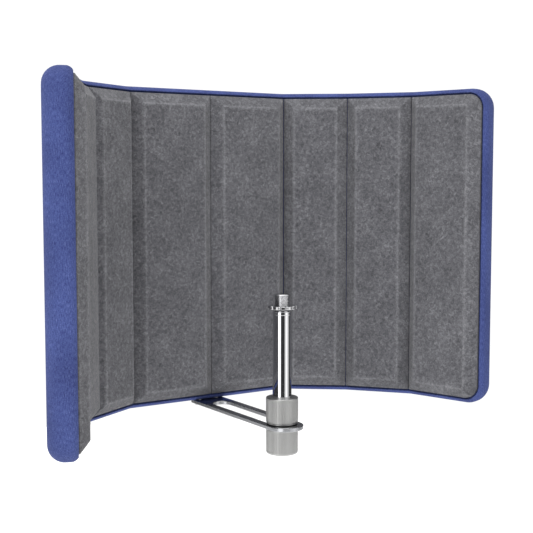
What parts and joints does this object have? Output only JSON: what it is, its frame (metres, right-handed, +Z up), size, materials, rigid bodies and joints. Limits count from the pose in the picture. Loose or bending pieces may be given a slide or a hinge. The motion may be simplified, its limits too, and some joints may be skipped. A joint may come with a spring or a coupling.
{
  "type": "microphone isolation shield",
  "caption": "Flexible upholstered microphone isolation shield with bevelled felt pads, on a slotted arm clamped behind a microphone post that screws onto a stand.",
  "frame": {"origin": "centre of the stand socket's mouth, on the post's axis", "axes": "+Z up along the post, +Y from the post towards the middle of the shield, so the shield opens towards -Y, and +X to the right when facing the shield"},
  "size_m": [0.5197, 0.2232, 0.381],
  "materials": {
    "blue_fabric": "matte woven upholstery",
    "grey_felt": "matte mottled needle felt",
    "foam": "open-cell foam",
    "board": "matte",
    "satin_nickel": "knurled and satin plated",
    "chrome": "polished",
    "arm_chrome": "polished",
    "black_nylon": "matte",
    "aluminium": "milled",
    "screw_steel": "zinc plated"
  },
  "bodies": {
    "post": {"stand_socket": "satin_nickel", "post_tube": "chrome", "lower_washer": "black_nylon", "mic_stud": "chrome"},
    "lock_washer": {"lock_washer": "black_nylon"},
    "lock_ring": {"lock_ring": "chrome"},
    "clamp_washer": {"clamp_washer": "satin_nickel"},
    "clamp_nut": {"clamp_nut": "satin_nickel"},
    "guide": {"guide_bush": "black_nylon"},
    "arm": {"arm_bracket": "arm_chrome", "arm_screws": "screw_steel", "mount_spacers": "aluminium", "mount_block": "aluminium", "block_screws": "screw_steel", "centre_board": "board", "centre_foam": "foam", "centre_cover": "blue_fabric", "centre_left_pad": "grey_felt", "centre_right_pad": "grey_felt"},
    "left_inner": {"left_inner_board": "board", "left_inner_foam": "foam", "left_inner_cover": "blue_fabric", "left_inner_pad": "grey_felt"},
    "left_middle": {"left_middle_board": "board", "left_middle_foam": "foam", "left_middle_cover": "blue_fabric", "left_middle_pad": "grey_felt"},
    "left_outer": {"left_outer_board": "board", "left_outer_foam": "foam", "left_outer_cover": "blue_fabric", "left_outer_pad": "grey_felt"},
    "right_inner": {"right_inner_board": "board", "right_inner_foam": "foam", "right_inner_cover": "blue_fabric", "right_inner_pad": "grey_felt"},
    "right_middle": {"right_middle_board": "board", "right_middle_foam": "foam", "right_middle_cover": "blue_fabric", "right_middle_pad": "grey_felt"},
    "right_outer": {"right_outer_board": "board", "right_outer_foam": "foam", "right_outer_cover": "blue_fabric", "right_outer_pad": "grey_felt"}
  },
  "joints": [
    {"name": "lock_ring_lift", "type": "slide", "parent": "post", "child": "lock_washer", "axis": [0, 0, 1], "range_m": [-0.0009, 0.0085]},
    {"name": "lock_ring_turn", "type": "hinge", "parent": "lock_washer", "child": "lock_ring", "pos_m": [0, 0, 0.15], "axis": [0, 0, 1], "range_deg": [-330, 3240]},
    {"name": "clamp_lift", "type": "slide", "parent": "post", "child": "clamp_washer", "axis": [0, 0, 1], "range_m": [0, 0.00602]},
    {"name": "clamp_nut_turn", "type": "hinge", "parent": "clamp_washer", "child": "clamp_nut", "pos_m": [0, 0, 0.033], "axis": [0, 0, 1], "range_deg": [0, 1440]},
    {"name": "arm_swivel", "type": "hinge", "parent": "post", "child": "guide", "pos_m": [0, 0, 0.0288], "axis": [0, 0, 1], "continuous": true},
    {"name": "arm_slide", "type": "slide", "parent": "guide", "child": "arm", "axis": [0, -1, 0], "range_m": [-0.006, 0.117]},
    {"name": "left_inner_bend", "type": "hinge", "parent": "arm", "child": "left_inner", "pos_m": [-0.099, 0.143, 0.206], "axis": [0, 0, 1], "range_deg": [-29.5, 15.5]},
    {"name": "left_middle_bend", "type": "hinge", "parent": "left_inner", "child": "left_middle", "pos_m": [-0.16341, 0.10656, 0.206], "axis": [0, 0, 1], "range_deg": [-26.5, 18.5]},
    {"name": "left_outer_bend", "type": "hinge", "parent": "left_middle", "child": "left_outer", "pos_m": [-0.20535, 0.04438, 0.206], "axis": [0, 0, 1], "range_deg": [-11, 34]},
    {"name": "right_inner_bend", "type": "hinge", "parent": "arm", "child": "right_inner", "pos_m": [0.099, 0.143, 0.206], "axis": [0, 0, -1], "range_deg": [-38, 7]},
    {"name": "right_middle_bend", "type": "hinge", "parent": "right_inner", "child": "right_middle", "pos_m": [0.15731, 0.09744, 0.206], "axis": [0, 0, -1], "range_deg": [-13, 32]},
    {"name": "right_outer_bend", "type": "hinge", "parent": "right_middle", "child": "right_outer", "pos_m": [0.20451, 0.03916, 0.206], "axis": [0, 0, -1], "range_deg": [-23, 22]}
  ],
  "couplings": [
    {"joint": "lock_ring_lift", "follows": "lock_ring_turn", "m_per_rad": 0.00014972},
    {"joint": "clamp_lift", "follows": "clamp_nut_turn", "m_per_rad": 0.00023873}
  ]
}
